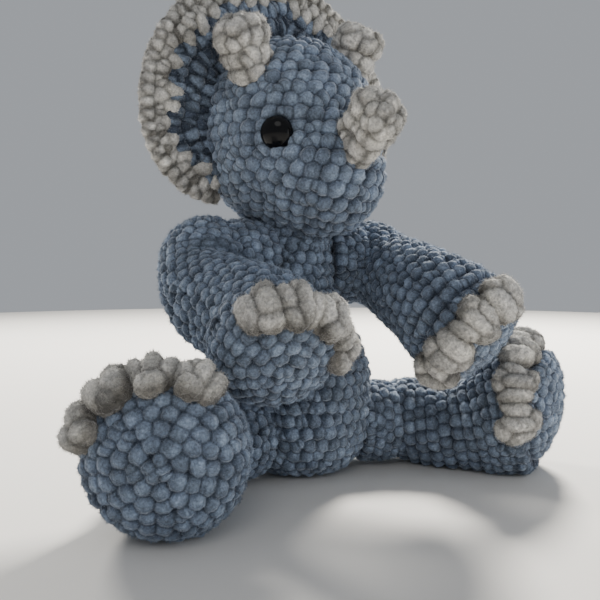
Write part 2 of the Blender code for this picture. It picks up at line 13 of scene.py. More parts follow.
import bmesh
import bpy
import numpy as np
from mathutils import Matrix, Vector, noise
from mathutils.geometry import interpolate_bezier
from mathutils.kdtree import KDTree
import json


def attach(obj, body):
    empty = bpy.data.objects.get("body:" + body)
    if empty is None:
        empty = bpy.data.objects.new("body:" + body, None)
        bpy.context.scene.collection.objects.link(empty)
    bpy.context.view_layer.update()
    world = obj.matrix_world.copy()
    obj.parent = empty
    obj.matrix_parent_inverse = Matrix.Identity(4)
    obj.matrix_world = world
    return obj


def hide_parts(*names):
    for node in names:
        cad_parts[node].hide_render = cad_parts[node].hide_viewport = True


MM = 0.001
UP = Vector((0, 0, 1))
SIDES = (("right", -1), ("left", 1))

# ---- driving dimensions: the CAD model's, with outlines that allow for the yarn ----
# an outline is a list of places along a part, each with the radius there
BODY_OUTLINE = [(0, 22), (4, 31), (12, 38), (25, 42.5), (45, 43.5), (60, 43), (73, 39.5),
                (86, 34), (97, 29), (107, 26.4), (122, 25.8), (136, 25)]
HEAD_CENTRE = Vector((-3, 5, 198))
HEAD_YAW = math.radians(10)
HEAD_RADIUS = 52.0
HEAD_HALF_HEIGHT = 55.0
HEAD_LOWER_HALF = 57.0
JAW_FULLNESS = 2.35
SNOUT_FORWARD = 32.0
SNOUT_DROP = 28.0
SNOUT_RADIUS = 33.5
SNOUT_BLEND = 10.0

ARM_BALL = 27.0
ARM_OUTLINE = [(14, 25), (30, 26.5), (48, 28), (66, 30), (80, 32), (92, 31.5), (101, 27), (106, 19)]
ARM_LENGTH = 109.5
LEG_BALL = 26.0
LEG_OUTLINE = [(12, 26.3), (28, 27), (40, 31), (50, 35.6), (60, 38), (70, 37.5), (79, 33.4), (85, 26),
               (88.2, 17)]
LEG_LENGTH = 91.0
TAIL_BALL = 20.0
TAIL_OUTLINE = [(12, 19), (26, 16.5), (40, 13.5), (52, 10.5)]
TAIL_LENGTH = 62.0
HIP_ANGLE = math.radians(76)
# middle of each paw or foot and the way its sole faces
PAWS = {
    "right": (Vector((-46, -61, 87)), Vector((-0.10, -0.81, -0.56))),
    "left": (Vector((62, -76, 87)), Vector((0.41, -0.64, -0.63))),
}
ARM_DROP = {"right": Vector((-16, -14, -26)), "left": Vector((8, -26, -11))}
FEET = {
    "right": (Vector((-100, -71, 38.2)), Vector((-0.41, -0.91, 0.0))),
    "left": (Vector((120, -68, 38.2)), Vector((0.56, -0.80, -0.12))),
}
# toes, in degrees around the limb: where the four are centred, and the step between two
TOE_ROLL = {"right_paw": -27, "left_paw": 83, "right_foot": 21, "left_foot": 46}
TOE_STEP = {"paw": 35, "foot": 31}
TOE_FORWARD = 4.0       # the yarn toes reach further over the paw than the solid ones
TOE_SETBACK = {"right_paw": 18, "left_paw": 18, "right_foot": 20, "left_foot": 24}

# a horn: where it stands on the head, the way it leans, its outline and its height
NOSE_HORN = (Vector((57, -2, -18)), Vector((36, 0, 27)),
             [(7, 13.5), (15, 15), (22, 14.5), (27, 10.5), (29.5, 6)], 31.5)
BROW_OUTLINE = [(6, 15.2), (13, 16.2), (19, 14.8), (23, 10.5), (25, 6)]
BROW_HORNS = {
    "right": (Vector((14, -38, 28)), Vector((5, -16, 36)), BROW_OUTLINE, 26.0),
    "left": (Vector((14, 30, 34)), Vector((7, 9, 36)), BROW_OUTLINE, 26.0),
}
EYE_PLACE = Vector((37, 36, -9))
EYE_RADIUS = 8.7
EYE_DOME = 5.5
EYE_SINK = 2.5          # how far its rim lies below the tops of the stitches

FRILL_BACK = 13.0
FRILL_SWEEP = 2.0       # how much further back its edge is than its root
FRILL_REACH_TOP = 96.0
FRILL_REACH_SIDE = 93.0
FRILL_CORNER = 1.5      # fuller between its top and its sides
FRILL_FLOP = 0.045      # its sides sag inwards by this share
FRILL_TUCK = 22.0       # how far its edge draws in towards the jaw
FRILL_TUCK_START = math.radians(84)
FRILL_END = math.radians(130)
FRILL_THICKNESS = 7.0
TRIM_WIDTH = 18.0
TRIM_THICKNESS = 9.0

LEG_SAG = 6.5           # a leg's thin part lies down on the floor
SAG_REACH = 62.0        # how far from the hip the sag ends
NECK_ROUNDS = [(-5, 25.4), (3, 26), (11, 25)]
NECK_HOOP = [(-3, 22), (9, 22), (9, 18), (-3, 18)]

# ---- looks --------------------------------------------------
# colours of the yarn: the colour low on each stitch is painted shade, the colour on its top holds painted
# light, the line value sets how dark the painted shade along the creases is, and the speckle value sets
# random tone together with a painted sheen
BLUE = {
    "crease_shade": (0.054, 0.070, 0.101), "middle": (0.136, 0.175, 0.241), "top": (0.202, 0.254, 0.334),
    "sheen_tint": (0.78, 0.85, 0.98), "sheen": 0.75, "line": 0.42, "speckle_and_sheen": 0.85,
}
CREAM = {
    "crease_shade": (0.22, 0.21, 0.19), "middle": (0.42, 0.41, 0.38), "top": (0.62, 0.605, 0.57),
    "sheen_tint": (1.0, 0.98, 0.95), "sheen": 0.80, "line": 0.42, "speckle_and_sheen": 0.7,
}
# name, place in metres, diameter, power and colour of each lamp
LAMPS = [
    ("key", (-0.55, -0.95, 0.95), 0.7, 2.2, (1.0, 0.98, 0.95)),
    ("rim", (0.79, 0.64, 0.88), 0.30, 56.0, (1.0, 0.96, 0.88)),
    ("far_rim", (-0.25, 1.05, 0.70), 0.35, 15.0, (1.0, 0.97, 0.90)),
    ("fill", (0.9, -0.9, 0.18), 0.8, 5.0, (0.92, 0.96, 1.0)),
]
LAMP_TARGET = Vector((0, 0, 0.13))
SKY_COLOUR = (0.80, 0.84, 0.90)
SKY_STRENGTH = 0.46
FLOOR_RADIUS = 1.5
CAMERA_TARGET = Vector((0, 0, 0.100))
CAMERA_AZIMUTH = math.radians(-26)
CAMERA_ELEVATION = math.radians(3)
CAMERA_DISTANCE = 0.400
CAMERA_VIEW = math.radians(48)

# ---- yarn ---------------------------------------------------
# the width and the height of a stitch
BODY_STITCH = (7.3, 7.1)
ARM_STITCH = (7.9, 6.0)
LEG_STITCH = (7.9, 6.7)
TAIL_STITCH = (6.8, 6.2)
COLLAR_STITCH = (7.6, 6.4)
HEAD_STITCH = (8.9, 7.2)
HORN_STITCH = (12.0, 9.4)
FAN_STITCH = (7.6, 8.4)
EDGE_STITCH = (8.2, 7.8)
HALF_WIDTH = 0.545      # half sizes of a lobe, as shares of its stitch: lobes overlap a little
HALF_HEIGHT = 0.57
SPIKE_LENGTHS = [2.5, 4.0, 5.5, 8.0]
SPIKE_GAPS = (8.0, 17.0)
RIM_STEP = 6.6          # between the lobes along the frill's rim
RIM_ROLLS = (-62, 0, 62)

RELIEF = 4.2            # how thick a lobe of yarn is above its middle
CORE_DEPTH = 3.4        # how deep the creases can be
BOXINESS = 2.25         # 2 is an ellipsoid; more gives flatter lobes with steeper sides
VOXEL = 0.78
BODY_VOXEL = 1.15 * VOXEL
HEAD_VOXEL = 1.12 * VOXEL
TOE_VOXEL = 0.7
FOLDED = -0.15          # a stitch that faces inwards more than this lies in a fold and is left out
PILE = 0.30             # unevenness of the pile
TUFT_SHARE = 0.20   # loose fibre ends for each point of a skin
CREAM_PILE = 0.48       # the pale yarn is fluffier
CREAM_TUFTS = 0.30
MOST_FACES = 195000     # of one piece, in triangles
TUFT_LENGTH = (0.9, 2.0)
TUFT_WIDTH = 0.16
TUFT_ROOT = 0.15        # how deep a loose end starts in the pile
RUFFLE_DEPTH = 1.6
CREASE_REACH = 0.9      # how wide the creases are, as a share of a stitch
BARE_CREASE = 0.12      # no loose ends this deep in a crease
BARE_FLOOR = 1.5        # nor this low above the floor


# ---- small geometry helpers ---------------------------------
def unit(array):
    """Rows of an array turned into unit vectors."""
    return array / np.maximum(np.linalg.norm(array, axis=-1, keepdims=True), 1e-9)


def spline(points, step):
    """Points of a Catmull-Rom curve through a list of points, about a step apart."""
    points = np.array(points, float)
    padded = np.vstack([2 * points[0] - points[1], points, 2 * points[-1] - points[-2]])
    curve = []
    for i in range(1, len(padded) - 2):
        before, start, end, after = padded[i - 1:i + 3]
        count = max(2, int(np.linalg.norm(end - start) / step))
        for share in np.arange(count) / count:
            curve.append(0.5 * (2 * start + (end - before) * share
                                + (2 * before - 5 * start + 4 * end - after) * share ** 2
                                + (3 * start - before - 3 * end + after) * share ** 3))
    curve.append(points[-1])
    return np.array(curve)


def side_axes(direction, towards=UP):
    """Two unit directions square to a direction, the first as near as can be to another."""
    direction = direction.normalized()
    if abs(direction.dot(towards)) > 0.999:
        towards = Vector((1, 0, 0))
    first = (towards - direction * towards.dot(direction)).normalized()
    return first, first.cross(direction)


def ring(centre, direction, radius, count=72, towards=UP):
    """A circle of points about a centre, square to a direction."""
    first, second = side_axes(direction, towards)
    turns = 2 * math.pi * np.arange(count) / count
    return (np.array(centre) + radius * (np.outer(np.cos(turns), first)
                                         + np.outer(np.sin(turns), second)))


def limb_path(start, first_handle, last_handle, middle, facing, length):
    """Points along a limb, every millimetre from its ball's middle."""
    curve = interpolate_bezier(start, first_handle, last_handle, middle, 60)
    curve += [middle + facing * step for step in range(1, 60)]
    places = [curve[0]]
    travelled = 0.0
    for before, after in zip(curve, curve[1:]):
        gap = (after - before).length
        while len(places) <= travelled + gap and len(places) <= length + 1:
            places.append(before.lerp(after, (len(places) - travelled) / gap))
        travelled += gap
    return places


def along(path, distance):
    """The place and the direction at a distance along a path of one-millimetre steps."""
    whole = min(max(int(distance), 0), len(path) - 2)
    place = path[whole].lerp(path[whole + 1], distance - whole)
    before = path[max(whole - 4, 0)]
    after = path[min(whole + 5, len(path) - 1)]
    return place, (after - before).normalized()


# ---- yarn: lobes, rounds of lobes, and the skin made from them ----
def unit_ball():
    """Vertices and triangles of a round ball of radius 1."""
    mesh = bmesh.new()
    bmesh.ops.create_icosphere(mesh, subdivisions=3, radius=1)
    points = np.array([vertex.co for vertex in mesh.verts])
    faces = np.array([[vertex.index for vertex in face.verts] for face in mesh.faces])
    mesh.free()
    return points / boxy_length(points)[:, None], faces


def boxy_length(points):
    """The distance from a lobe's middle, as a share of its size in that direction."""
    return (np.abs(points) ** BOXINESS).sum(axis=-1) ** (1 / BOXINESS)


BALL_POINTS, BALL_FACES = unit_ball()


class Yarn:
    """The lobes of yarn of one piece."""

    def __init__(self, seed, wildness=1.0, split=0.3, lean=16, pile=PILE, tufts=TUFT_SHARE):
        self.random = np.random.default_rng(seed)
        self.pile = pile
        self.tufts = tufts
        self.wildness = wildness
        self.split = split
        self.lean = lean
        self.centres, self.frames, self.sizes, self.tapers = [], [], [], []

    def lobe(self, place, along_round, normal, size, lean=0.0, tilt=0.0, taper=0.2):
        """One lobe whose top is at a place: width, height and thickness are half sizes."""
        across = unit(along_round - normal * np.dot(along_round, normal))
        upwards = np.cross(normal, across)
        turned = across * math.cos(lean) + upwards * math.sin(lean)
        upwards = np.cross(normal, turned)
        out = normal * math.cos(tilt) + upwards * math.sin(tilt)
        upwards = np.cross(out, turned)
        self.centres.append(place - normal * size[2])
        self.frames.append(np.array([turned, upwards, out]))
        self.sizes.append(size)
        self.tapers.append(taper)

    def stitch(self, place, along_round, normal, width, height, relief=RELIEF):
        """One stitch: a plump lobe, a little different each time, at times split in two."""
        draw = self.random.uniform
        wide = width * HALF_WIDTH * draw(0.88, 1.08)
        high = height * HALF_HEIGHT * draw(0.90, 1.10)
        thick = relief * draw(0.92, 1.08)
        drop = max(0.0, draw(-0.5, 0.8)) * self.wildness
        lean = math.radians(self.lean + draw(-14, 14) * self.wildness)
        tilt = math.radians(5 + draw(-8, 8) * self.wildness)
        if draw(0, 1) > self.split:
            self.lobe(place - normal * drop, along_round, normal, (wide, high, thick), lean, tilt,
                      draw(0.1, 0.4))
            return
        upwards = np.cross(normal, along_round)
        shift = along_round * wide * 0.34 + upwards * high * draw(-0.3, 0.3)
        self.lobe(place - shift - normal * drop, along_round, normal, (wide * 0.68, high, thick),
                  lean + 0.15, tilt, draw(0.0, 0.3))
        self.lobe(place + shift * 1.25 - normal * (drop + 0.3), along_round, normal,
                  (wide * 0.56, high * 0.86, thick), lean + 0.45, tilt, draw(-0.2, 0.2))

    def rounds(self, grid, width, height, closed=True, keep=None, relief=RELIEF):
        """Stitches laid over a grid of points, in rounds from its first row to its last."""
        steps = np.linalg.norm(np.diff(grid, axis=0), axis=2).mean(axis=1)
        lengths = np.concatenate([[0], np.cumsum(steps)])
        count = max(1, round(lengths[-1] / height))
        pitch = lengths[-1] / count
        for number in range(count):
            centre = (number + 0.5) * pitch
            low, middle, high = (self.row_at(grid, lengths, centre + shift) for shift in (-2, 0, 2))
            self.round(low, middle, high, width, pitch, number, closed, keep, relief)

    @staticmethod
    def row_at(grid, lengths, distance):
        """The row of points at a distance down a grid."""
        distance = min(max(distance, 0.01), lengths[-1] - 0.01)
        row = int(np.searchsorted(lengths, distance)) - 1
        share = (distance - lengths[row]) / (lengths[row + 1] - lengths[row])
        return grid[row] * (1 - share) + grid[row + 1] * share

    def round(self, low, middle, high, width, pitch, number, closed, keep, relief):
        """One round of stitches, spread evenly along its real length."""
        loop = np.vstack([middle, middle[:1]]) if closed else middle
        gaps = np.linalg.norm(np.diff(loop, axis=0), axis=1)
        lengths = np.concatenate([[0], np.cumsum(gaps)])
        count = max(4, round(lengths[-1] / width))
        offset = 0.5 * (number % 2) + self.random.uniform(-0.12, 0.12)
        inside = middle.mean(axis=0)
        for i in range(count):
            jitter = self.random.uniform(-0.09, 0.09)
            spot = ((i + offset + 0.25 + jitter) / count * lengths[-1]) % lengths[-1]
            j = min(int(np.searchsorted(lengths, spot, side="right")) - 1, len(gaps) - 1)
            share = (spot - lengths[j]) / max(gaps[j], 1e-6)
            k = (j + 1) % len(middle)
            place = middle[j] * (1 - share) + middle[k] * share
            along_round = unit(loop[j + 1] - loop[j])
            upwards = unit((high[j] - low[j]) * (1 - share) + (high[k] - low[k]) * share)
            normal = unit(np.cross(along_round, upwards))
            place = place + upwards * self.random.uniform(-0.07, 0.07) * pitch
            folded = closed and np.dot(normal, unit(place - inside)) < FOLDED
            if not folded and (keep is None or keep(place)):
                self.stitch(place, along_round, normal, lengths[-1] / count, pitch, relief)

    def skin(self, name, cores, finish, voxel=VOXEL, floor=None, smooth=1):
        """Fuse lobes and cores into one closed skin, with its attributes and material."""
        centres, frames = np.array(self.centres), np.array(self.frames)
        sizes, tapers = np.array(self.sizes), np.array(self.tapers)
        local = np.repeat(BALL_POINTS[None], len(centres), axis=0)
        local[:, :, 0] *= 1 - tapers[:, None] * local[:, :, 1]
        points = np.einsum("nvk,nkx->nvx", local * sizes[:, None, :], frames) + centres[:, None, :]
        faces = BALL_FACES[None] + (np.arange(len(centres)) * len(BALL_POINTS))[:, None, None]
        points, faces = [points.reshape(-1, 3)], [faces.reshape(-1, 3)]
        total = len(points[0])
        for core_points, core_faces in cores:
            points.append(core_points)
            faces.append(core_faces + total)
            total += len(core_points)
        rough = mesh_object(name + "_rough", np.vstack(points), np.vstack(faces))
        remesh = rough.modifiers.new("fuse", "REMESH")
        remesh.mode = "VOXEL"
        remesh.voxel_size = voxel * MM
        soften = rough.modifiers.new("soften", "SMOOTH")
        soften.factor = 0.5
        soften.iterations = smooth
        evaluated = rough.evaluated_get(bpy.context.evaluated_depsgraph_get())
        mesh = bpy.data.meshes.new_from_object(evaluated)
        mesh.name = name
        bpy.data.objects.remove(rough)
        mesh = self.dress(mesh, centres, frames, sizes, floor)
        made = bpy.data.objects.new(name, mesh)
        bpy.context.scene.collection.objects.link(made)
        mesh.shade_smooth()
        mesh.materials.append(finish)
        return made

    def dress(self, mesh, centres, frames, sizes, floor):
        """Ruffle the pile, and note for each point its stitch and where on the stitch it is."""
        points = np.empty(len(mesh.vertices) * 3, np.float32)
        mesh.vertices.foreach_get("co", points)
        points = points.reshape(-1, 3) / MM
        normals = np.empty(len(mesh.vertices) * 3, np.float32)
        mesh.vertex_normals.foreach_get("vector", normals)
        normals = normals.reshape(-1, 3)
        near = min(4, len(centres))
        tree = KDTree(len(centres))
        for i, centre in enumerate(centres):
            tree.insert(centre, i)
        tree.balance()
        owners = np.array([[found[1] for found in tree.find_n(point, near)] for point in points])
        offsets = points[:, None, :] - centres[owners]
        local = np.einsum("vnx,vnkx->vnk", offsets, frames[owners]) / sizes[owners]
        reach = boxy_length(local)
        order = np.argsort(reach, axis=1)
        rows = np.arange(len(points))
        best, second = order[:, 0], order[:, 1]
        gap = reach[rows, second] - reach[rows, best]
        own = owners[rows, best]
        place = local[rows, best]
        # the way the pile lies on each stitch: the material paints a sheen along it
        nap_sheen = self.random.uniform(0, 2 * math.pi, len(centres))[own]
        naps = place[:, 0] * np.cos(nap_sheen) + place[:, 1] * np.sin(nap_sheen)
        tones = self.random.uniform(0, 1, len(centres))[own]
        ruffle = np.array([noise.noise(Vector(point) * 0.42) + 0.7 * noise.noise(Vector(point) * 1.1)
                           for point in points])
        points += normals * (self.pile * RUFFLE_DEPTH * ruffle)[:, None]
        if floor is not None:
            points[:, 2] = np.maximum(points[:, 2], floor)
        labels = {"stitch": tones, "nap_sheen": np.clip(0.5 + 0.5 * naps, 0, 1),
                  "gap": np.clip(gap / CREASE_REACH, 0, 1), "height": np.clip(place[:, 2], 0, 1)}
        return self.fray(mesh, points, normals, labels, floor)

    def fray(self, mesh, points, normals, labels, floor):
        """A copy of the skin with loose fibre ends standing out of its pile."""
        quads = np.empty(len(mesh.loops), np.int32)
        mesh.loops.foreach_get("vertex_index", quads)
        starts = np.empty(len(mesh.polygons), np.int32)
        mesh.polygons.foreach_get("loop_start", starts)
        count = min(int(len(points) * self.tufts), (MOST_FACES - 2 * len(points)) // 4)
        roots = self.random.choice(len(points), count, replace=False)
        roots = roots[labels["gap"][roots] > BARE_CREASE]
        if floor is not None:
            roots = roots[points[roots, 2] > floor + BARE_FLOOR]
        count = len(roots)
        across = unit(np.cross(normals[roots], self.random.normal(size=(count, 3))))
        upwards = np.cross(normals[roots], across)
        lengths = self.random.uniform(*TUFT_LENGTH, count)[:, None]
        spread = self.random.uniform(0.2, 1.3, count)[:, None]
        tips = points[roots] + unit(normals[roots] + across * spread) * lengths
        corners = [points[roots] - TUFT_ROOT * normals[roots]
                   + TUFT_WIDTH * (math.cos(turn) * across + math.sin(turn) * upwards)
                   for turn in (0, 2 * math.pi / 3, 4 * math.pi / 3)]
        everything = np.vstack([points, *corners, tips])
        first = len(points) + np.arange(count)
        a, b, c, tip = first, first + count, first + 2 * count, first + 3 * count
        spikes = np.stack([a, b, tip, b, c, tip, c, a, tip, a, c, b], axis=1).reshape(-1)
        loops = np.concatenate([quads, spikes]).astype(np.int32)
        starts = np.concatenate([starts, len(quads) + 3 * np.arange(4 * count)]).astype(np.int32)
        frayed = bpy.data.meshes.new(mesh.name + "_frayed")
        frayed.vertices.add(len(everything))
        frayed.vertices.foreach_set("co", (everything * MM).astype(np.float32).ravel())
        frayed.loops.add(len(loops))
        frayed.loops.foreach_set("vertex_index", loops)
        frayed.polygons.add(len(starts))
        frayed.polygons.foreach_set("loop_start", starts)
        frayed.update(calc_edges=True)
        for label, values in labels.items():
            attribute = frayed.attributes.new(label, "FLOAT", "POINT")
            spread_out = np.concatenate([values, *[values[roots]] * 4])
            attribute.data.foreach_set("value", spread_out.astype(np.float32))
        return frayed


def mesh_object(name, points, faces):
    """An object from arrays of points, in millimetres, and faces of three corners."""
    mesh = bpy.data.meshes.new(name)
    mesh.vertices.add(len(points))
    mesh.vertices.foreach_set("co", (points * MM).astype(np.float32).ravel())
    mesh.loops.add(faces.size)
    mesh.loops.foreach_set("vertex_index", faces.astype(np.int32).ravel())
    mesh.polygons.add(len(faces))
    mesh.polygons.foreach_set("loop_start", np.arange(0, faces.size, 3, dtype=np.int32))
    mesh.update(calc_edges=True)
    mesh.validate()
    made = bpy.data.objects.new(name, mesh)
    bpy.context.scene.collection.objects.link(made)
    return made


def capped(rings):
    """A closed body straight from rings of points, with its faces outwards."""
    count, columns = rings.shape[:2]
    points = rings.reshape(-1, 3)
    faces = []
    for i in range(count - 1):
        for j in range(columns):
            a, b = i * columns + j, i * columns + (j + 1) % columns
            faces += [(a, b + columns, b), (a, a + columns, b + columns)]
    points = np.vstack([points, rings[0].mean(axis=0), rings[-1].mean(axis=0)])
    for j in range(columns):
        k = (j + 1) % columns
        faces.append((j, k, count * columns))
        faces.append(((count - 1) * columns + k, (count - 1) * columns + j, count * columns + 1))
    return points, np.array(faces)


def shell(grid, inset):
    """A closed body from a grid of points moved inwards: the inside of a skin."""
    rows = grid[::3] if len(grid) > 12 else grid
    around = np.roll(rows, -1, axis=1) - np.roll(rows, 1, axis=1)
    down = np.gradient(rows, axis=0)
    normals = unit(np.cross(around, down))
    inner = rows - normals * inset
    points, faces = capped(inner)
    return points, faces[:, ::-1]


# ---- materials ----------------------------------------------
class Nodes:
    """A Principled material under construction."""

    def __init__(self, name):
        self.material = bpy.data.materials.new(name)
        self.material.use_nodes = True
        self.tree = self.material.node_tree
        self.shader = self.tree.nodes["Principled BSDF"]

    def add(self, kind, **settings):
        node = self.tree.nodes.new(kind)
        for key, value in settings.items():
            setattr(node, key, value)
        return node

    def link(self, output, target):
        self.tree.links.new(output, target)

    def attribute(self, name):
        return self.add("ShaderNodeAttribute", attribute_name=name).outputs["Fac"]

    def noise(self, scale, detail=2.0, roughness=0.5):
        texture = self.add("ShaderNodeTexNoise")
        texture.inputs["Scale"].default_value = scale
        texture.inputs["Detail"].default_value = detail
        texture.inputs["Roughness"].default_value = roughness
        place = self.add("ShaderNodeTexCoord").outputs["Object"]
        self.link(place, texture.inputs["Vector"])
        return texture.outputs["Fac"]

    def ramp(self, factor, stops):
        made = self.add("ShaderNodeValToRGB")
        elements = made.color_ramp.elements
        while len(elements) < len(stops):
            elements.new(0.5)
        for element, (place, colour) in zip(elements, stops):
            element.position = place
            element.color = (*colour, 1)
        self.link(factor, made.inputs["Fac"])
        return made.outputs["Color"]

    def mix(self, kind, amount, first, second):
        """Two colours mixed; the amount is a number or an output."""
        made = self.add("ShaderNodeMix", data_type="RGBA", blend_type=kind)
        if isinstance(amount, float):
            made.inputs["Factor"].default_value = amount
        else:
            self.link(amount, made.inputs["Factor"])
        self.link(first, made.inputs["A"])
        self.link(second, made.inputs["B"])
        return made.outputs["Result"]

    def bump(self, height, distance, strength, normal=None):
        made = self.add("ShaderNodeBump")
        made.inputs["Distance"].default_value = distance
        made.inputs["Strength"].default_value = strength
        self.link(height, made.inputs["Height"])
        if normal is not None:
            self.link(normal, made.inputs["Normal"])
        return made.outputs["Normal"]


def grey(value):
    return (value, value, value)


def chenille(name, *, crease_shade, middle, top, sheen_tint, sheen, line, speckle_and_sheen):
    """Chenille yarn: painted shade in the creases, painted light where the pile stands out, a painted
    sheen across each stitch, and a soft sheen from the shader.
    """
    made = Nodes(name)
    gap = made.attribute("gap")
    # painted shade and light: darker low on each stitch, towards its creases, and lighter on its top, where
    # the pile stands up to the light
    colour = made.ramp(made.attribute("height"), [(0.0, crease_shade), (0.42, middle), (1.0, top)])
    # painted shade: a dark line along every crease between stitches
    shade = made.ramp(gap, [(0.0, grey(line)), (0.11, grey(0.3 + 0.7 * line)), (0.30, grey(1.0))])
    colour = made.mix("MULTIPLY", 1.0, colour, shade)
    stitch = made.ramp(made.attribute("stitch"), [(0.0, grey(1 - 0.32 * speckle_and_sheen)), (0.5, grey(0.96)),
                                                  (1.0, grey(1 + 0.28 * speckle_and_sheen))])
    colour = made.mix("MULTIPLY", 1.0, colour, stitch)
    # painted sheen: one side of each stitch lighter and the other darker, across the way its pile lies
    nap_sheen = made.ramp(made.attribute("nap_sheen"), [(0.1, grey(1 - 0.3 * speckle_and_sheen)), (0.5, grey(0.98)),
                                            (0.9, grey(1 + 0.3 * speckle_and_sheen))])
    colour = made.mix("MULTIPLY", 1.0, colour, nap_sheen)
    patches = made.ramp(made.noise(60, 3.0), [(0.3, (0.90, 0.90, 0.92)), (0.7, (1.08, 1.07, 1.05))])
    colour = made.mix("MULTIPLY", 1.0, colour, patches)
    # speckle of the fibres: random tone, with painted sheen in its lighter specks
    for scale, depth in ((330, 0.26 * speckle_and_sheen), (950, 0.42 * speckle_and_sheen)):
        fibre_tone_and_sheen = made.ramp(made.noise(scale, 4.0, 0.7), [(0.36, grey(1 - depth)), (0.64, grey(1 + depth))])
        colour = made.mix("MULTIPLY", 1.0, colour, fibre_tone_and_sheen)
    made.link(colour, made.shader.inputs["Base Color"])
    made.shader.inputs["Roughness"].default_value = 0.95
    made.shader.inputs["Specular IOR Level"].default_value = 0.2
    made.shader.inputs["Sheen Weight"].default_value = sheen
    made.shader.inputs["Sheen Roughness"].default_value = 0.35
    made.shader.inputs["Sheen Tint"].default_value = (*sheen_tint, 1)
    fold = made.bump(made.ramp(gap, [(0.0, grey(0.0)), (0.5, grey(1.0))]), 0.0011, 0.7)
    pile = made.bump(made.noise(1900, 3.0, 0.7), 0.0005, 0.6, fold)
    tufts = made.bump(made.noise(560, 3.0, 0.65), 0.0011, 0.6, pile)
    made.link(tufts, made.shader.inputs["Normal"])
    return made.material


def black_plastic():
    """Moulded plastic with a fine polish and the faintest haze."""
    made = Nodes("eye_plastic")
    made.shader.inputs["Base Color"].default_value = (0.004, 0.004, 0.005, 1)
    haze = made.ramp(made.noise(300, 2.0), [(0.3, grey(0.05)), (0.8, grey(0.16))])
    made.link(haze, made.shader.inputs["Roughness"])
    made.shader.inputs["Specular IOR Level"].default_value = 0.15
    made.shader.inputs["Coat Weight"].default_value = 0.05
    made.shader.inputs["Coat Roughness"].default_value = 0.04
    return made.material


def washer_plastic():
    """Milky moulded plastic of the eye washers, inside the head."""
    made = Nodes("washer_plastic")
    tone = made.ramp(made.noise(200, 2.0), [(0.3, grey(0.42)), (0.7, grey(0.5))])
    made.link(tone, made.shader.inputs["Base Color"])
    made.shader.inputs["Roughness"].default_value = 0.35
    return made.material


# ---- pieces -------------------------------------------------
def settle(piece, body, nodes):
    """Hang a piece on its body, in place of its CAD nodes."""
    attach(piece, body)
    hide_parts(*nodes)


def body_middle(height):
    lean = (height / BODY_OUTLINE[-1][0]) ** 2
    return Vector((HEAD_CENTRE.x * lean, HEAD_CENTRE.y * lean, height))


def make_body(blue):
    """The pear-shaped body, from the middle of the seat up to the neck."""
    outline = [(0.2, 0), (0.1, 12), *[(z + 0.3, r) for z, r in BODY_OUTLINE], (141, 21), (144, 12),
               (145, 0.3)]
    rows = spline([(r, z) for z, r in outline], 1.2)
    grid = np.array([ring(body_middle(max(z, 0)), UP, max(r, 0.3), 96) for r, z in rows])[:, ::-1]
    yarn = Yarn(11, split=0.2)
    yarn.rounds(grid, *BODY_STITCH)
    piece = yarn.skin("body", [shell(grid, CORE_DEPTH)], blue, BODY_VOXEL, floor=0.3)
    settle(piece, "torso", ["body_cover", "body_stuffing"])


def limb_grid(path, ball, outline, length, sag=0.0):
    """Rings of a limb from the pole of its paw back to the far side of its ball.

    The part between them sags, most of all SAG_REACH / 2 from the ball's middle.
    """
    profile = [(length, 0.2), (length - 0.8, outline[-1][1] * 0.45), *reversed(outline)]
    profile += [(ball * math.cos(math.radians(turn)), ball * math.sin(math.radians(turn)))
                for turn in (90, 120, 150, 178)]
    rings = []
    start, heading = along(path, 0)
    for distance, radius in spline(profile, 1.2):
        place, direction = along(path, distance)
        if distance < 0:
            place, direction = start + heading * distance, heading
        elif distance < SAG_REACH:
            place = place - UP * sag * math.sin(math.pi * distance / SAG_REACH)
        rings.append(ring(place, direction, max(radius, 0.2), 84))
    grid = np.array(rings)
    grid[:, :, 2] = np.maximum(grid[:, :, 2], 0.4)
    return grid


def make_limb(name, path, shape, stitch, finish, body, nodes, seed, sag=0.0):
    """An arm, a leg or the tail."""
    grid = limb_grid(path, *shape, sag)
    yarn = Yarn(seed, wildness=0.8, split=0.12)
    yarn.rounds(grid, *stitch)
    piece = yarn.skin(name, [shell(grid, CORE_DEPTH)], finish, floor=0.2)
    settle(piece, body, nodes)


def limb_width(outline, distance):
    """The radius of a limb at a distance along it."""
    return float(np.interp(distance, [d for d, _ in outline], [r for _, r in outline]))


def make_toes(side, kind, path, shape, cream, body):
    """Four bobbles of cream yarn over the front of one paw or foot."""
    limb = side + "_" + kind
    distance = shape[2] - TOE_SETBACK[limb] + TOE_FORWARD
    place, direction = along(path, distance)
    back, across = side_axes(direction)
    radius = limb_width(shape[1], distance)
    for number in range(4):
        roll = math.radians(TOE_ROLL[limb] + (number - 1.5) * TOE_STEP[kind])
        outward = back * math.cos(roll) - across * math.sin(roll)
        normal = (outward + 0.35 * direction).normalized()
        lengthwise = (direction - normal * direction.dot(normal)).normalized()
        make_toe(f"{limb}_toe_{number + 1}", place + outward * (radius + 1), normal, lengthwise,
                 cream, body, number)


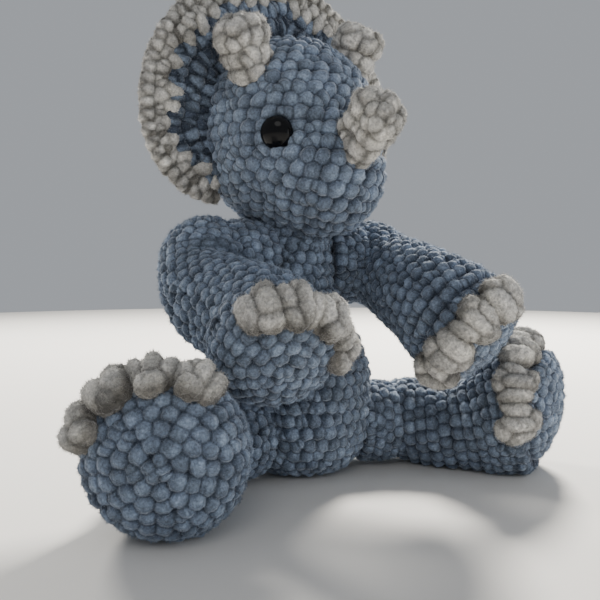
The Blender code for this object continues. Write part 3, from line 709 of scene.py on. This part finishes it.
def make_toe(name, base, normal, lengthwise, cream, body, number):
    """One bobble: a few fat tufts side by side, drawn together at their roots."""
    yarn = Yarn(400 + number + sum(map(ord, name)), pile=CREAM_PILE, tufts=CREAM_TUFTS)
    crosswise = np.cross(np.array(normal), np.array(lengthwise))
    base, normal, lengthwise = np.array(base), np.array(normal), np.array(lengthwise)
    draw = yarn.random.uniform
    tufts = 3 if draw(0, 1) < 0.5 else 2
    spread, half_width = (6.4, 4.6) if tufts == 3 else (8.6, 6.2)
    for i in range(tufts):
        side = i - (tufts - 1) / 2
        top = (base + crosswise * side * spread + lengthwise * draw(-1.2, 1.2)
               + normal * (9.0 - 2.6 * side * side + draw(-0.4, 0.4)))
        yarn.lobe(top, crosswise, normal, (half_width, draw(10.2, 11.6) - 1.6 * abs(side), 8.0),
                  lean=-side * math.radians(draw(6, 26)), tilt=math.radians(draw(-6, 6)),
                  taper=draw(-0.25, 0.25))
    for end, reach in ((-1, 7.8), (1, 7.4)):
        top = base + lengthwise * end * reach + crosswise * draw(-4, 4) + normal * draw(5.2, 7.0)
        yarn.lobe(top, crosswise, normal, (draw(5.5, 7.0), draw(4.0, 5.0), 6),
                  lean=draw(-0.5, 0.5), taper=0.0)
    piece = yarn.skin(name + "_yarn", [], cream, TOE_VOXEL)
    settle(piece, body, [name])


def arm_path(side, start):
    middle, facing = PAWS[side][0], PAWS[side][1].normalized()
    return limb_path(start, start + ARM_DROP[side], middle - facing * 22, middle, facing, ARM_LENGTH)


def leg_path(side, start):
    middle, facing = FEET[side][0], FEET[side][1].normalized()
    flat = Vector((middle.x, middle.y, start.z + 1)) - start
    return limb_path(start, start + flat * 0.45, middle - facing * 20 - UP * 4, middle, facing,
                     LEG_LENGTH)


def make_collar(name, middle, axis, profile, finish, body, seed, tube):
    """The last rounds of a cover, where it is sewn on, over a hoop with a tube as its section."""
    rings = [ring(middle + axis * distance, axis, radius, 72) for distance, radius in profile]
    yarn = Yarn(seed, wildness=0.8, split=0.15)
    yarn.rounds(np.array(rings)[:, ::-1], *COLLAR_STITCH, relief=3.4)
    loop = [ring(middle + axis * distance, axis, radius, 36) for distance, radius in tube]
    piece = yarn.skin(name + "_rounds", [hoop(loop)], finish, floor=0.3)
    settle(piece, body, [name])


def hoop(rings):
    """A closed hoop from a loop of rings."""
    rings = np.array(rings)
    count, columns = rings.shape[:2]
    faces = []
    for i in range(count):
        below = (i + 1) % count
        for j in range(columns):
            k = (j + 1) % columns
            a, b, c, d = i * columns + j, i * columns + k, below * columns + k, below * columns + j
            faces += [(a, b, c), (a, c, d)]
    return rings.reshape(-1, 3), np.array(faces)


def make_socket(name, middle, inward, ball, depth, finish, body, seed):
    """Rounds that hug a limb's ball and run into the body."""
    edge = 0.46 * ball
    profile = [(edge, 0.90 * ball), (0.62 * ball, 0.95 * ball), (ball, 0.96 * ball),
               (depth, 0.93 * ball)]
    tube = [(edge + 2, 0.88 * ball - 3), (depth, 0.93 * ball - 3), (depth, 0.93 * ball - 7),
            (0.8 * ball, 0.93 * ball - 7)]
    make_collar(name, middle, inward, spline(profile, 1.5), finish, body, seed, tube)


# ---- head ---------------------------------------------------
def head_direction(place):
    ahead = Vector((math.sin(HEAD_YAW), -math.cos(HEAD_YAW), 0))
    left = Vector((math.cos(HEAD_YAW), math.sin(HEAD_YAW), 0))
    return ahead * place.x + left * place.y + UP * place.z


def head_point(place):
    return HEAD_CENTRE + head_direction(place)


def head_reach(direction):
    """How far the head's outside is from its middle, in a unit direction on the head."""
    level = math.hypot(direction.x, direction.y) / HEAD_RADIUS
    if direction.z > 0:
        ball = 1 / math.hypot(level, direction.z / HEAD_HALF_HEIGHT)
    else:
        drop = -direction.z / HEAD_LOWER_HALF
        ball = (level ** JAW_FULLNESS + drop ** JAW_FULLNESS) ** (-1 / JAW_FULLNESS)
    snout_middle = Vector((SNOUT_FORWARD, 0, -SNOUT_DROP))
    shadow = snout_middle.dot(direction)
    room = shadow * shadow - snout_middle.length_squared + SNOUT_RADIUS ** 2
    if room <= 0 or shadow <= 0:
        return ball
    snout = shadow + math.sqrt(room)
    return (ball ** SNOUT_BLEND + snout ** SNOUT_BLEND) ** (1 / SNOUT_BLEND)


def eye_frame(sign):
    place = Vector((EYE_PLACE.x, EYE_PLACE.y * sign, EYE_PLACE.z))
    facing = place.normalized()
    return head_point(facing * head_reach(facing)), head_direction(facing).normalized()


def head_grid():
    """Level rounds of the head, from the crown down to the neck."""
    rows = []
    for tilt in np.linspace(0.01, math.pi - 0.01, 130):
        row = []
        for turn in np.linspace(0, 2 * math.pi, 120, endpoint=False):
            direction = Vector((math.sin(tilt) * math.cos(turn), math.sin(tilt) * math.sin(turn),
                                math.cos(tilt)))
            row.append(head_point(direction * head_reach(direction)))
        rows.append(row)
    return np.array(rows)


def make_head(blue):
    grid = head_grid()[:, ::-1]
    eyes = [eye_frame(sign)[0] for _, sign in SIDES]

    def clear_of_eyes(place):
        for middle in eyes:
            if (Vector(place) - middle).length < EYE_RADIUS - 0.8:
                return False
        return True

    yarn = Yarn(21, wildness=1.3, split=0.3, lean=34)
    yarn.rounds(grid, *HEAD_STITCH, keep=clear_of_eyes)
    piece = yarn.skin("head", [shell(grid, CORE_DEPTH)], blue, HEAD_VOXEL)
    settle(piece, "head", ["head_cover", "head_stuffing"])


def make_eye(side, sign, black):
    """A domed safety eye whose rim lies down in the stitches."""
    place, facing = eye_frame(sign)
    seat = place - facing * EYE_SINK
    profile = [(0.1, -3), (EYE_RADIUS * 0.8, -3), (EYE_RADIUS, -1.2), (EYE_RADIUS, 0.2)]
    for turn in range(6, 90, 7):
        tilt = math.radians(turn)
        profile.append((EYE_RADIUS * math.cos(tilt), 0.6 + (EYE_DOME + 0.4) * math.sin(tilt)))
    profile.append((0.1, EYE_DOME + 1.0))
    rings = np.array([ring(seat + facing * rise, facing, radius, 48) for radius, rise in profile])
    points, faces = capped(rings)
    piece = mesh_object(side + "_eye_dome", points, faces)
    piece.data.shade_smooth()
    piece.data.materials.append(black)
    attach(piece, "head")
    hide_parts(side + "_eye")


def horn_foot(base, lean):
    """Where a line through a place, in a direction on the head, comes out of the head."""
    inside, outside = -20.0, 60.0
    for _ in range(30):
        middle = (inside + outside) / 2
        spot = base + lean * middle
        if spot.length < head_reach(spot.normalized()):
            inside = middle
        else:
            outside = middle
    return head_point(base + lean * inside)


def make_horn(name, shape, cream, seed):
    """A stubby horn, worked from its tip down into the head."""
    base, lean, outline, height = shape
    direction = head_direction(lean).normalized()
    foot = horn_foot(base, lean.normalized())
    profile = [(height, 0.3), (height - 0.7, outline[-1][1] * 0.5), *reversed(outline),
               (0, outline[0][1] * 0.97), (-6, outline[0][1] * 0.9), (-12, outline[0][1] * 0.7), (-13, 0.3)]
    yarn = Yarn(seed, wildness=1.9, split=0.3, pile=CREAM_PILE, tufts=CREAM_TUFTS)
    turns = 2 * math.pi * np.arange(64) / 64
    lumps = 1 + 0.06 * np.cos(2 * turns + seed) + 0.05 * np.cos(3 * turns + 2 * seed)
    rings = []
    for distance, radius in spline(profile, 1.2):
        centre = np.array(foot + direction * distance)
        level = ring(centre, direction, max(radius, 0.3), 64)
        rings.append(centre + (level - centre) * lumps[:, None])
    grid = np.array(rings)
    yarn.rounds(grid, *HORN_STITCH, relief=5.4)
    piece = yarn.skin(name + "_skin", [shell(grid, 3.4)], cream)
    settle(piece, "head", [name, name + "_stuffing", name + "_seam"])


# ---- frill --------------------------------------------------
def frill_reach(turn):
    """How far the frill's edge is from the head's middle, at a turn away from the crown."""
    reach = FRILL_REACH_TOP - (FRILL_REACH_TOP - FRILL_REACH_SIDE) * (2 * turn / math.pi) ** 2
    reach += FRILL_CORNER * math.sin(2 * abs(turn))
    tuck = max(0.0, abs(turn) - FRILL_TUCK_START) / (FRILL_END - FRILL_TUCK_START)
    reach -= FRILL_TUCK * tuck ** 2
    return reach * (1 - FRILL_FLOP * abs(math.sin(turn)))


def frill_place(turn, radius, forward):
    """A point on the fan, moved forward of its middle surface."""
    share = max(0.0, (radius - HEAD_RADIUS) / (FRILL_REACH_SIDE - HEAD_RADIUS))
    wave = 1.2 * math.sin(5 * turn + 0.8) * share
    back = FRILL_BACK + FRILL_SWEEP * share + wave
    return np.array(head_point(Vector((forward - back, radius * math.sin(turn),
                                       radius * math.cos(turn)))))


def frill_root(turn):
    """Just inside the head's surface, where the fan is sewn to it."""
    direction = Vector((-FRILL_BACK / 52, math.sin(turn), math.cos(turn))).normalized()
    return head_reach(direction) * math.hypot(direction.y, direction.z) - 4


def fan_grid(inner, outer, forward, steps=150, rows=14):
    """Points over one face of the fan, between two radii given for each turn."""
    turns = np.linspace(-FRILL_END, FRILL_END, steps)
    return np.array([[frill_place(turn, inner(turn) + (outer(turn) - inner(turn)) * share, forward)
                      for turn in turns] for share in np.linspace(0, 1, rows)])


def slab(front, back):
    """A closed body between two open grids that face away from each other."""
    rows, columns = front.shape[:2]
    points = np.vstack([front.reshape(-1, 3), back.reshape(-1, 3)])
    size = rows * columns
    faces = []
    for i in range(rows - 1):
        for j in range(columns - 1):
            a, b, c, d = (i * columns + j, i * columns + j + 1, (i + 1) * columns + j + 1,
                          (i + 1) * columns + j)
            faces += [(a, b, c), (a, c, d), (a + size, c + size, b + size), (a + size, d + size, c + size)]
    rim = [*range(columns), *[i * columns + columns - 1 for i in range(1, rows)],
           *[(rows - 1) * columns + j for j in range(columns - 2, -1, -1)],
           *[i * columns for i in range(rows - 2, 0, -1)]]
    for a, b in zip(rim, rim[1:] + rim[:1]):
        faces += [(a, a + size, b), (b, a + size, b + size)]
    return points, np.array(faces)


def both_faces(yarn, inner, outer, lift, stitch, relief, inset):
    """Rounds over the front and the back of part of the fan; gives the body between them."""
    front = fan_grid(inner, outer, lift)
    back = fan_grid(inner, outer, -lift)
    yarn.rounds(front, *stitch, closed=False, relief=relief)
    yarn.rounds(back[:, ::-1], *stitch, closed=False, relief=relief)
    return slab(fan_grid(inner, outer, lift - inset), fan_grid(inner, outer, inset - lift))


def make_frill(blue, cream):
    """The fan and its pale edge, whose long stitches dip into the blue."""
    half = FRILL_THICKNESS / 2

    def join(turn):
        wander = 1.6 * math.sin(11 * turn + 1) + 1.2 * math.sin(23 * turn)
        return max(frill_reach(turn) - TRIM_WIDTH + 3.5 + wander, frill_root(turn) + 5)

    yarn = Yarn(31, wildness=1.3, split=0.25, lean=8)
    core = both_faces(yarn, frill_root, join, half, FAN_STITCH, 2.9, 2.2)
    piece = yarn.skin("frill_fan", [core], blue)
    settle(piece, "head", ["frill", "frill_seam"])

    yarn = Yarn(37, wildness=1.7, split=0.3, pile=CREAM_PILE, tufts=CREAM_TUFTS)
    thick = TRIM_THICKNESS / 2

    def outer(turn):
        return frill_reach(turn) - thick

    core = both_faces(yarn, join, outer, thick, EDGE_STITCH, 3.6, 2.4)
    ahead = np.array(head_direction(Vector((1, 0, 0))))
    for number, roll in enumerate(RIM_ROLLS):
        roll = math.radians(roll)
        turn = -FRILL_END + 0.03 * number
        while turn < FRILL_END:
            reach = frill_reach(turn)
            middle = frill_place(turn, reach - thick, 0)
            outwards = unit(frill_place(turn, reach + 1, 0) - middle)
            outwards = unit(outwards - ahead * np.dot(outwards, ahead))
            normal = outwards * math.cos(roll) + ahead * math.sin(roll)
            run = unit(np.cross(outwards, ahead))
            yarn.lobe(middle + normal * (thick + yarn.random.uniform(-0.3, 0.9)), run, normal,
                      (yarn.random.uniform(3.4, 4.2), 3.9, 4.2), lean=yarn.random.uniform(0.0, 0.6))
            turn += RIM_STEP / reach
    spikes(yarn, join, half)
    piece = yarn.skin("frill_edge", [core], cream)
    settle(piece, "head", ["frill_trim"])


def spikes(yarn, join, half):
    """Long stitches that reach from the edge down over the blue, front and back."""
    ahead = np.array(head_direction(Vector((1, 0, 0))))
    for face in (1, -1):
        turn = -FRILL_END + 0.1
        while turn < FRILL_END - 0.1:
            length = yarn.random.choice(SPIKE_LENGTHS)
            middle = join(turn) - length / 2 + 1.5
            spot = frill_place(turn, middle, face * (half + 0.9))
            run = unit(frill_place(turn + 0.02, middle, face * (half + 0.9)) - spot)
            yarn.lobe(spot, run, ahead * face, (4.0, length / 2 + 3.4, 3.0),
                      lean=yarn.random.uniform(-0.5, 0.5), taper=yarn.random.uniform(-0.2, 0.3))
            turn += yarn.random.uniform(*SPIKE_GAPS) / middle


# ---- studio -------------------------------------------------
def make_floor():
    made = Nodes("floor_paper")
    tone = made.ramp(made.noise(3, 2.0), [(0.3, (0.74, 0.72, 0.69)), (0.7, (0.77, 0.75, 0.72))])
    made.link(tone, made.shader.inputs["Base Color"])
    made.shader.inputs["Roughness"].default_value = 0.9
    mesh = bmesh.new()
    bmesh.ops.create_circle(mesh, cap_ends=True, segments=128, radius=FLOOR_RADIUS)
    data = bpy.data.meshes.new("floor")
    mesh.to_mesh(data)
    mesh.free()
    data.materials.append(made.material)
    floor = bpy.data.objects.new("floor", data)
    bpy.context.scene.collection.objects.link(floor)


def soft_light(name, place, size, power, colour):
    data = bpy.data.lights.new(name, "AREA")
    data.shape = "DISK"
    data.size = size
    data.energy = power
    data.color = colour
    light = bpy.data.objects.new(name, data)
    light.location = place
    light.rotation_euler = (LAMP_TARGET - Vector(place)).to_track_quat("-Z", "Y").to_euler()
    bpy.context.scene.collection.objects.link(light)


def make_studio():
    world = bpy.data.worlds.new("studio")
    world.use_nodes = True
    background = world.node_tree.nodes["Background"]
    background.inputs["Color"].default_value = (*SKY_COLOUR, 1)
    background.inputs["Strength"].default_value = SKY_STRENGTH
    bpy.context.scene.world = world
    for lamp in LAMPS:
        soft_light(*lamp)


def make_camera():
    """The viewpoint of the photograph: low, from the toy's right."""
    level = math.cos(CAMERA_ELEVATION)
    away = Vector((math.sin(CAMERA_AZIMUTH) * level, -math.cos(CAMERA_AZIMUTH) * level,
                   math.sin(CAMERA_ELEVATION)))
    data = bpy.data.cameras.new("camera")
    data.angle = CAMERA_VIEW
    data.clip_start = 0.01
    camera = bpy.data.objects.new("camera", data)
    camera.location = CAMERA_TARGET + CAMERA_DISTANCE * away
    camera.rotation_euler = (CAMERA_TARGET - camera.location).to_track_quat("-Z", "Y").to_euler()
    bpy.context.scene.collection.objects.link(camera)
    bpy.context.scene.camera = camera


# ---- the whole picture --------------------------------------
def joint_place(name):
    """Where a joint is, in millimetres."""
    found = next(joint for joint in frame["joints"] if joint["name"] == name)
    return Vector(found["pos_m"]) / MM


def main():
    blue = chenille("blue_chenille_yarn", **BLUE)
    cream = chenille("cream_chenille_yarn", **CREAM)
    black = black_plastic()
    washer = washer_plastic()

    make_body(blue)
    for number, (side, sign) in enumerate(SIDES):
        shoulder = joint_place(side + "_arm_swing")
        path = arm_path(side, shoulder)
        shape = (ARM_BALL, ARM_OUTLINE, ARM_LENGTH)
        nodes = [side + "_arm_cover", side + "_arm_stuffing"]
        make_limb(side + "_arm", path, shape, ARM_STITCH, blue, side + "_arm", nodes, 41 + number)
        make_toes(side, "paw", path, shape, cream, side + "_arm")
        make_socket(side + "_shoulder_seam", shoulder, Vector((-sign, 0, 0)), ARM_BALL, 36, blue,
                    "torso", 51 + number)
        hip = joint_place(side + "_leg_lift")
        path = leg_path(side, hip)
        shape = (LEG_BALL, LEG_OUTLINE, LEG_LENGTH)
        nodes = [side + "_leg_cover", side + "_leg_stuffing"]
        make_limb(side + "_leg", path, shape, LEG_STITCH, blue, side + "_leg", nodes, 61 + number,
                  LEG_SAG)
        make_toes(side, "foot", path, shape, cream, side + "_leg")
        inward = Vector((-sign * math.sin(HIP_ANGLE), math.cos(HIP_ANGLE), 0))
        make_socket(side + "_hip_seam", hip, inward, LEG_BALL, 35, blue, side + "_hip", 71 + number)
    tail = joint_place("tail_wag")
    end = tail + Vector((6, 34, -5.5))
    facing = Vector((0.2, 0.96, -0.17)).normalized()
    path = limb_path(tail, tail.lerp(end, 0.3), end - facing * 12, end, facing, TAIL_LENGTH)
    make_limb("tail", path, (TAIL_BALL, TAIL_OUTLINE, TAIL_LENGTH), TAIL_STITCH, blue, "tail",
              ["tail_cover", "tail_stuffing"], 81)
    make_socket("tail_seam", tail, Vector((0, -1, 0)), TAIL_BALL, 26, blue, "torso", 83)
    neck = Vector((HEAD_CENTRE.x, HEAD_CENTRE.y, BODY_OUTLINE[-1][0]))
    make_collar("neck_seam", neck, UP, spline(NECK_ROUNDS, 1.5), blue, "neck", 85, NECK_HOOP)

    make_head(blue)
    for side, sign in SIDES:
        make_eye(side, sign, black)
        frame["nodes"][side + "_eye_washer"].data.materials.clear()
        frame["nodes"][side + "_eye_washer"].data.materials.append(washer)
        make_horn(side + "_brow_horn", BROW_HORNS[side], cream, 91 + sign)
    make_horn("nose_horn", NOSE_HORN, cream, 95)
    make_frill(blue, cream)
    make_floor()
    make_studio()
    make_camera()


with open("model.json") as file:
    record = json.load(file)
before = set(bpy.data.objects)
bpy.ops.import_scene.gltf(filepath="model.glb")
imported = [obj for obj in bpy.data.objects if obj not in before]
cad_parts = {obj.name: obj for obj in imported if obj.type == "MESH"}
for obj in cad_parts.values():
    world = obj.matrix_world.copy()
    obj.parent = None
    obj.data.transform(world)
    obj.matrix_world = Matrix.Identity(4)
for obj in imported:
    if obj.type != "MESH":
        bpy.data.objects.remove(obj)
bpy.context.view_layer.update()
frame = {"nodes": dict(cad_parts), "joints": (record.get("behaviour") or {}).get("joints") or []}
main()
